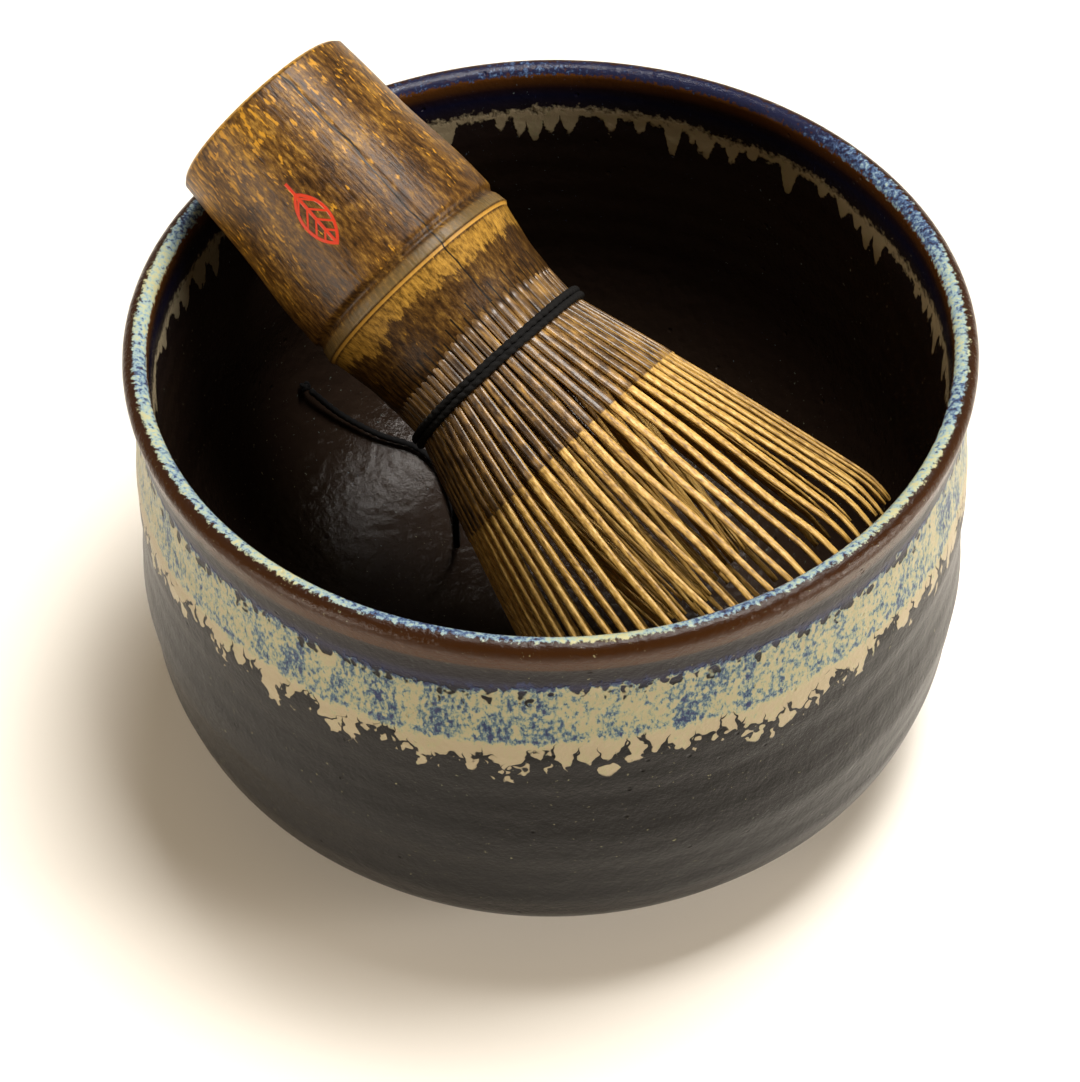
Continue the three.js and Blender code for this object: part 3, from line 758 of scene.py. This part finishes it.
    # Cut faces: pale fibres with dark vascular dots at the end, and the pale inside of the culm.
    dots = add("TexVoronoi", {"Vector": flat, "Scale": 1 / 0.7}, feature="F1")
    end_grain = add("ValToRGB", [dots], stops=[(0.1, "#4a3216"), (0.35, "#a07a3c"), (0.8, "#b89350")])
    low = add("MapRange", [station, 0.45, 0.1])
    bored = add("MapRange", [radius, BORE_RADIUS + 0.4, BORE_RADIUS + 0.1])
    cut = add("Math MAXIMUM", [low, bored])
    whole = add("Mix", {"Factor": cut, "A": marked, "B": end_grain}, data_type="RGBA")

    # Waxed satin skin with the ridges of the fibres, and the leaf pressed in a little.
    fibre_place = add("VectorMath MULTIPLY", [place, (1, 1, 0.05)])
    fibres = add("TexNoise", {"Vector": fibre_place, "Scale": 1 / 0.4, "Detail": 3})
    rough = add("MapRange", [mottle, 0.3, 0.7, 0.3, 0.44])
    ridged = add("Math ADD", [fibres, mottle])
    height = add("Math MULTIPLY_ADD", [leaf_share, -1.2, ridged])
    bump = add("Bump", {"Height": height, "Distance": 0.12 * MM, "Strength": 0.55})
    set_inputs(shader, {"Base Color": whole, "Roughness": rough, "Normal": bump})
    set_inputs(shader, {"IOR": 1.48, "Specular IOR Level": 0.2})
    return material


# ---------------------------------------------------------------- the tines

OUTER_TINES = 64
INNER_TINES = 48
TINE_ROWS = 34
SKIN_ROWS = 12
SKIN_END = 65.3
SKIN_STEP = 0.25
STAVES = 16

# Sizes of the ring of outer tines and of the ring of inner tines.
TINE_SIZES = {
    "Tines": (OUTER_TINES, INNER_TINES),
    "Seed": (3, 11),
    "Root station": (HANDLE_LENGTH - 0.5, HANDLE_LENGTH - 0.5),
    "Tip station": (WHISK_LENGTH - 0.6, WHISK_LENGTH - 9),
    "Root radius": (PINCH_RADIUS, 12.6),
    "Tip radius": (FAN_RADIUS, 8.6),
    "Bow": (0.5, 0.2),
    "Curl": (1.3, 0.0),
    "Root width": (1.2, 0.72),
    "Tip width": (0.76, 0.5),
    "Root thickness": (0.75, 0.55),
    "Tip thickness": (0.34, 0.35),
    "Skin thickness": (0.14, 0.0),
    "Stray": (0.26, 0.3),
    "Uneven length": (0.5, 1.5),
}


def tine_tree(name, material):
    """Geometry nodes for a ring of tines round +Z: each is a strip along its own run, a little different."""
    tree = bpy.data.node_groups.new(name, "GeometryNodeTree")
    add = partial(add_node, tree)
    identifiers = {}
    for label, (size, _) in TINE_SIZES.items():
        kind = "NodeSocketInt" if isinstance(size, int) else "NodeSocketFloat"
        identifiers[label] = tree.interface.new_socket(label, in_out="INPUT", socket_type=kind).identifier
    tree.interface.new_socket("Tines mesh", in_out="OUTPUT", socket_type="NodeSocketGeometry")
    given = tree.nodes.new("NodeGroupInput").outputs
    result = tree.nodes.new("NodeGroupOutput")

    strip = add("MeshCube", {"Size": (1, 1, 1), "Vertices X": 4, "Vertices Y": 2, "Vertices Z": TINE_ROWS})
    spots = add("Points", {"Count": given["Tines"]})
    copies = add("InstanceOnPoints", {"Points": spots, "Instance": strip.outputs["Mesh"]})
    number = add("InputIndex")
    store = {"Geometry": copies, "Name": "tine", "Value": number}
    numbered = add("StoreNamedAttribute", store, domain="INSTANCE", data_type="FLOAT")
    real = add("RealizeInstances", {"Geometry": numbered})
    tine = add("InputNamedAttribute", {"Name": "tine"}, data_type="FLOAT").outputs["Attribute"]

    unit = add("SeparateXYZ", [add("InputPosition")])
    row = add("MapRange", [unit.outputs["Z"], -0.5, 0.5, 0, TINE_ROWS - 1])
    chances = []
    for extra in range(4):
        seed = add("Math ADD", [given["Seed"], extra * 17])
        chance = add("RandomValue", {"Min": -1.0, "Max": 1.0, "ID": tine, "Seed": seed}, data_type="FLOAT")
        chances.append(chance.outputs[1])

    # Station: rows spread evenly up to the end of the skin, two rows at its step, and evenly on to the tip.
    skin_end = add("Math MULTIPLY_ADD", [chances[3], 0.35, SKIN_END])
    first = add("MapRange", [row, 0, SKIN_ROWS, given["Root station"], skin_end])
    second = add("MapRange", [row, SKIN_ROWS, SKIN_ROWS + 1, 0, SKIN_STEP])
    stray_tip = add("Math MULTIPLY_ADD", [chances[0], given["Uneven length"], given["Tip station"]])
    past_skin = add("Math SUBTRACT", [stray_tip, skin_end])
    left = add("Math SUBTRACT", [past_skin, SKIN_STEP])
    third = add("MapRange", [row, SKIN_ROWS + 1, TINE_ROWS - 1, 0, left])
    to_bare = add("Math ADD", [first, second])
    station = add("Math ADD", [to_bare, third])
    share = add("MapRange", [station, THREAD_STATION, given["Tip station"]])

    # Radius of the outer face: straight through the thread, bowed over the fan, and curled in at the tip.
    fan = add("MapRange", [share, 0, 1, given["Root radius"], given["Tip radius"]])
    rest_of_share = add("Math SUBTRACT", [1, share])
    quarter_hump = add("Math MULTIPLY", [share, rest_of_share])
    hump = add("Math MULTIPLY", [quarter_hump, 4])
    bowed = add("Math MULTIPLY_ADD", [hump, given["Bow"], fan])
    at_tip = add("MapRange", [share, 0.88])
    bend = add("Math POWER", [at_tip, 2])
    curl = add("Math MULTIPLY", [bend, given["Curl"]])
    curled = add("Math SUBTRACT", [bowed, curl])
    spread = add("Math MULTIPLY", [share, given["Stray"]])
    out_or_in = add("Math MULTIPLY", [chances[1], 0.8])
    loose = add("Math MULTIPLY_ADD", [out_or_in, spread, curled])
    has_skin = add("Math LESS_THAN", [row, SKIN_ROWS + 0.5])
    face = add("Math MULTIPLY_ADD", [has_skin, given["Skin thickness"], loose])

    width = add("MapRange", [share, 0, 1, given["Root width"], given["Tip width"]])
    uneven = add("Math MULTIPLY_ADD", [chances[2], 0.1, 1])
    own_width = add("Math MULTIPLY", [width, uneven])
    thickness = add("MapRange", [share, 0, 1, given["Root thickness"], given["Tip thickness"]])
    depth = add("Math SUBTRACT", [0.5, unit.outputs["Y"]])
    off_middle = add("Math POWER", [unit.outputs["X"], 2])
    sunk = add("Math MULTIPLY_ADD", [off_middle, 0.55, depth])
    in_mm = add("Math MULTIPLY", [sunk, thickness])
    radius = add("Math SUBTRACT", [face, in_mm])

    # Side to side: even round the ring, with a slow sway along the tine.
    step = add("Math DIVIDE", [TURN, given["Tines"]])
    half_on = add("Math ADD", [tine, 0.5])
    even = add("Math MULTIPLY", [half_on, step])
    beside = add("Math MULTIPLY", [tine, 0.62])
    along = add("Math MULTIPLY", [share, 1.6])
    sway_place = add("CombineXYZ", {"X": beside, "Y": along})
    sway = add("TexNoise", {"Vector": sway_place, "Scale": 1, "Detail": 1})
    swayed = add("MapRange", [sway, 0, 1, -9, 9])
    strayed = add("Math ADD", [swayed, chances[0]])
    aside = add("Math MULTIPLY", [strayed, spread])
    side_in_mm = add("Math MULTIPLY_ADD", [unit.outputs["X"], own_width, aside])

    cosine = add("Math COSINE", [even])
    sine = add("Math SINE", [even])
    out_x = add("Math MULTIPLY", [radius, cosine])
    out_y = add("Math MULTIPLY", [radius, sine])
    side_x = add("Math MULTIPLY", [side_in_mm, sine])
    side_y = add("Math MULTIPLY", [side_in_mm, cosine])
    x = add("Math SUBTRACT", [out_x, side_x])
    y = add("Math ADD", [out_y, side_y])
    place = add("CombineXYZ", {"X": x, "Y": y, "Z": station})
    in_metres = add("VectorMath SCALE", {0: place, 3: MM})
    facts = add("CombineXYZ", {"X": chances[2], "Y": depth, "Z": unit.outputs["X"]})
    store = {"Geometry": real, "Name": "tine_facts", "Value": facts}
    known = add("StoreNamedAttribute", store, domain="POINT", data_type="FLOAT_VECTOR")
    placed = add("SetPosition", {"Geometry": known, "Position": in_metres})
    skinned = add("SetMaterial", {"Geometry": placed, "Material": material})
    set_inputs(result, [skinned])
    return tree, identifiers


def grow(name, tree, sizes):
    """Runs a node tree with the sizes of its inputs, by identifier, and keeps the result as a plain mesh."""
    holder = new_object(name + "_holder", bpy.data.meshes.new(name + "_holder"))
    modifier = holder.modifiers.new("tines", "NODES")
    modifier.node_group = tree
    for identifier, size in sizes.items():
        modifier[identifier] = size
    bpy.context.view_layer.update()
    seen = holder.evaluated_get(bpy.context.evaluated_depsgraph_get())
    mesh = bpy.data.meshes.new_from_object(seen)
    bpy.data.objects.remove(holder)
    mesh.name = name
    mesh.attributes.remove(mesh.attributes["tine"])
    mesh.shade_smooth()
    return new_object(name, mesh)


def make_tines():
    tree, identifiers = tine_tree("ring of tines", shaved_bamboo())
    for which, name in enumerate(("outer_tines", "inner_tines")):
        sizes = {identifiers[label]: pair[which] for label, pair in TINE_SIZES.items()}
        staves = [f"{name}_{number:02d}" for number in range(1, STAVES + 1)]
        lay_whisk_piece(grow(name, tree, sizes), *staves, slot="split_bamboo")


def shaved_bamboo():
    """Bamboo split and shaved by knife: brown skin near the thread, then bare golden fibre."""
    material, add, shader = new_material("split and shaved bamboo")
    place = add("Attribute", attribute_name="in_the_culm").outputs["Vector"]
    station = add("SeparateXYZ", [place]).outputs["Z"]
    facts = add("SeparateXYZ", [add("Attribute", attribute_name="tine_facts").outputs["Vector"]])
    fibre_place = add("VectorMath MULTIPLY", [place, (1, 1, 0.06)])
    fibres = add("TexNoise", {"Vector": fibre_place, "Scale": 1 / 0.3, "Detail": 3, "Roughness": 0.6})
    lighter = add("Math MULTIPLY_ADD", [facts.outputs["X"], 0.07, fibres])
    gold_stops = [(0.3, "#70521f"), (0.45, "#a17c38"), (0.58, "#bf994e"), (0.7, "#d4b26c")]
    gold = add("ValToRGB", [lighter], stops=gold_stops)
    mottle_place = add("VectorMath MULTIPLY", [place, (1, 1, 0.25)])
    mottle = add("TexNoise", {"Vector": mottle_place, "Scale": 1 / 1.1, "Detail": 4, "Roughness": 0.65})
    skin_stops = [(0.36, "#2c1d10"), (0.5, "#5a4326"), (0.62, "#87683a"), (0.7, "#a98342")]
    skin = add("ValToRGB", [mottle], stops=skin_stops)
    outer_face = add("MapRange", [facts.outputs["Y"], 0.3, 0.05])
    before_step = add("MapRange", [station, SKIN_END + 0.25, SKIN_END])
    skin_share = add("Math MULTIPLY", [outer_face, before_step])
    whole = add("Mix", {"Factor": skin_share, "A": gold, "B": skin}, data_type="RGBA")
    rough = add("MapRange", [skin_share, 0, 1, 0.52, 0.36])
    bump = add("Bump", {"Height": fibres, "Distance": 0.08 * MM, "Strength": 0.5})
    set_inputs(shader, {"Base Color": whole, "Roughness": rough, "Normal": bump, "IOR": 1.5})
    return material


# ---------------------------------------------------------------- the thread

THREAD_DIAMETER = 1.1
OUTER_TURN_DIAMETER = 1.14
KNOT_THREAD_DIAMETER = 0.8
END_KNOT_THREAD_DIAMETER = 0.72
OUTER_TURN_RADIUS = 15.72
INNER_TURN_RADIUS = 13.45
KNOT_SIZE = 0.95
END_KNOT_SIZE = 0.62
RING_STEPS = 560
KNOT_STEPS = 120
TAIL_STEP = 0.25
THREAD_SECTION = 14
TWIST_PITCH = 2.6
PLIES = 2


def rope(path, diameter, closed=False, first_normal=(0, 0, 1)):
    """Points, faces and (round, along) places of a plied thread along a path, with round ends."""
    path = np.asarray(path, float)
    ahead = np.roll(path, -1, 0) - np.roll(path, 1, 0)
    if not closed:
        ahead[0], ahead[-1] = path[1] - path[0], path[-1] - path[-2]
    ahead /= np.linalg.norm(ahead, axis=1)[:, None]
    steps = np.linalg.norm(np.diff(path, axis=0), axis=1)
    along = np.concatenate([[0], np.cumsum(steps)])
    total = along[-1] + (np.linalg.norm(path[0] - path[-1]) if closed else 0)
    turns = max(1, round(total / TWIST_PITCH))
    normal = np.asarray(first_normal, float)
    section = np.arange(THREAD_SECTION) * TURN / THREAD_SECTION
    rows, facts = [], []
    for point, forward, reached in zip(path, ahead, along):
        normal = normal - forward * (normal @ forward)
        normal /= np.linalg.norm(normal)
        side = np.cross(forward, normal)
        lobe = np.abs(np.cos(PLIES / 2 * (section - turns * TURN * reached / total)))
        radius = diameter / 2 * (0.74 + 0.26 * lobe)
        round_it = np.outer(np.cos(section), normal) + np.outer(np.sin(section), side)
        rows.append(point + radius[:, None] * round_it)
        facts.append(np.stack([section, np.full(THREAD_SECTION, reached), lobe], -1))
    points = np.vstack(rows)
    facts = np.vstack(facts)
    faces = grid_faces(len(path), THREAD_SECTION, closed)
    if not closed:
        last = (len(path) - 1) * THREAD_SECTION
        faces.append(tuple(range(THREAD_SECTION))[::-1])
        faces.append(tuple(range(last, last + THREAD_SECTION)))
    return points, faces, facts


def new_thread(name, path, diameter, material, closed=False):
    points, faces, facts = rope(path, diameter, closed)
    piece = new_piece(name, points, faces, material)
    set_attribute(piece, "on_the_thread", facts)
    return piece


def ring_path(radius, station, dents):
    """A turn of thread that dips a little between the tines."""
    angle = np.arange(RING_STEPS) * TURN / RING_STEPS
    dipped = radius + 0.06 * np.cos(dents * angle)
    waver = 0.08 * np.sin(3 * angle + station)
    return np.stack([dipped * np.cos(angle), dipped * np.sin(angle), station + waver], -1)


def knot_path(centre, size):
    """An overhand knot drawn tight, as a closed three-lobed run."""
    t = np.linspace(0, TURN, KNOT_STEPS, endpoint=False)
    x, y = np.sin(t) + 2 * np.sin(2 * t), np.cos(t) - 2 * np.cos(2 * t)
    lobes = np.stack([x, y, -1.6 * np.sin(3 * t)], -1)
    return np.asarray(centre) + lobes * size / 3


# Route of the loose end, from the knot down to the floor and up the wall of the bowl.
TAIL_ROUTE = [
    (-14.3, 7.4, 47.3),
    (-14.4, 7.5, 43),
    (-14.7, 7.7, 36),
    (-15, 8, 28),
    (-15.2, 9, 20.5),
    (-15.3, 11.5, 15.4),
    (-15.4, 15.8, 13.7),
    (-16.1, 21.1, 13.6),
    (-17.6, 26.6, 13.9),
    (-19.6, 30.7, 14.8),
    (-22.6, 32.9, 16),
    (-28.3, 33.4, 18.4),
    (-34.6, 34, 22.8),
    (-39, 34.2, 28),
]


def make_thread():
    cotton = black_cotton()
    for name, radius, station, dents, diameter in (
        ("thread_outer_turn_1", OUTER_TURN_RADIUS, THREAD_STATION - 0.5, OUTER_TINES, OUTER_TURN_DIAMETER),
        ("thread_outer_turn_2", OUTER_TURN_RADIUS, THREAD_STATION + 0.5, OUTER_TINES, OUTER_TURN_DIAMETER),
        ("thread_inner_turn", INNER_TURN_RADIUS, THREAD_STATION, INNER_TINES, THREAD_DIAMETER),
    ):
        turn = new_thread(name + "_yarn", ring_path(radius, station, dents), diameter, cotton, closed=True)
        lay_whisk_piece(turn, name, slot="cotton_thread", culm=False)

    knots = []
    for node, size, diameter in (
        ("thread_knot", KNOT_SIZE, KNOT_THREAD_DIAMETER),
        ("tail_end_knot", END_KNOT_SIZE, END_KNOT_THREAD_DIAMETER),
    ):
        low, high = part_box(node)
        path = knot_path((low + high) / 2 / MM, size)
        knots.append(new_thread(node + "_yarn", path, diameter, cotton, closed=True))
    knot, end_knot = knots
    path = smooth_path(TAIL_ROUTE, TAIL_STEP)
    tail = new_thread("thread_tail_yarn", path, THREAD_DIAMETER, cotton)
    for piece, node in ((knot, "thread_knot"), (end_knot, "tail_end_knot"), (tail, "thread_tail")):
        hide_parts(node)
        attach(piece, "whisk")


def black_cotton():
    """Two-ply black cotton thread, waxed: dull, with single fibres catching the light."""
    material, add, shader = new_material("black two-ply cotton")
    place = add("Attribute", attribute_name="on_the_thread").outputs["Vector"]
    slant = add("VectorMath MULTIPLY", [place, (1.2, 3.0, 0.4)])
    fibres = add("TexNoise", {"Vector": slant, "Scale": 2.2, "Detail": 4, "Roughness": 0.7})
    colour = add("ValToRGB", [fibres], stops=[(0.35, "#030303"), (0.6, "#0a0a0b"), (0.75, "#18181b")])
    bump = add("Bump", {"Height": fibres, "Distance": 0.06 * MM, "Strength": 0.8})
    set_inputs(shader, {"Base Color": colour, "Normal": bump})
    set_inputs(shader, {"Roughness": 0.85, "Specular IOR Level": 0.2})
    return material


# ---------------------------------------------------------------- the whole scene

make_camera()
make_thread()
make_studio()
make_bowl()
make_handle()
make_tines()
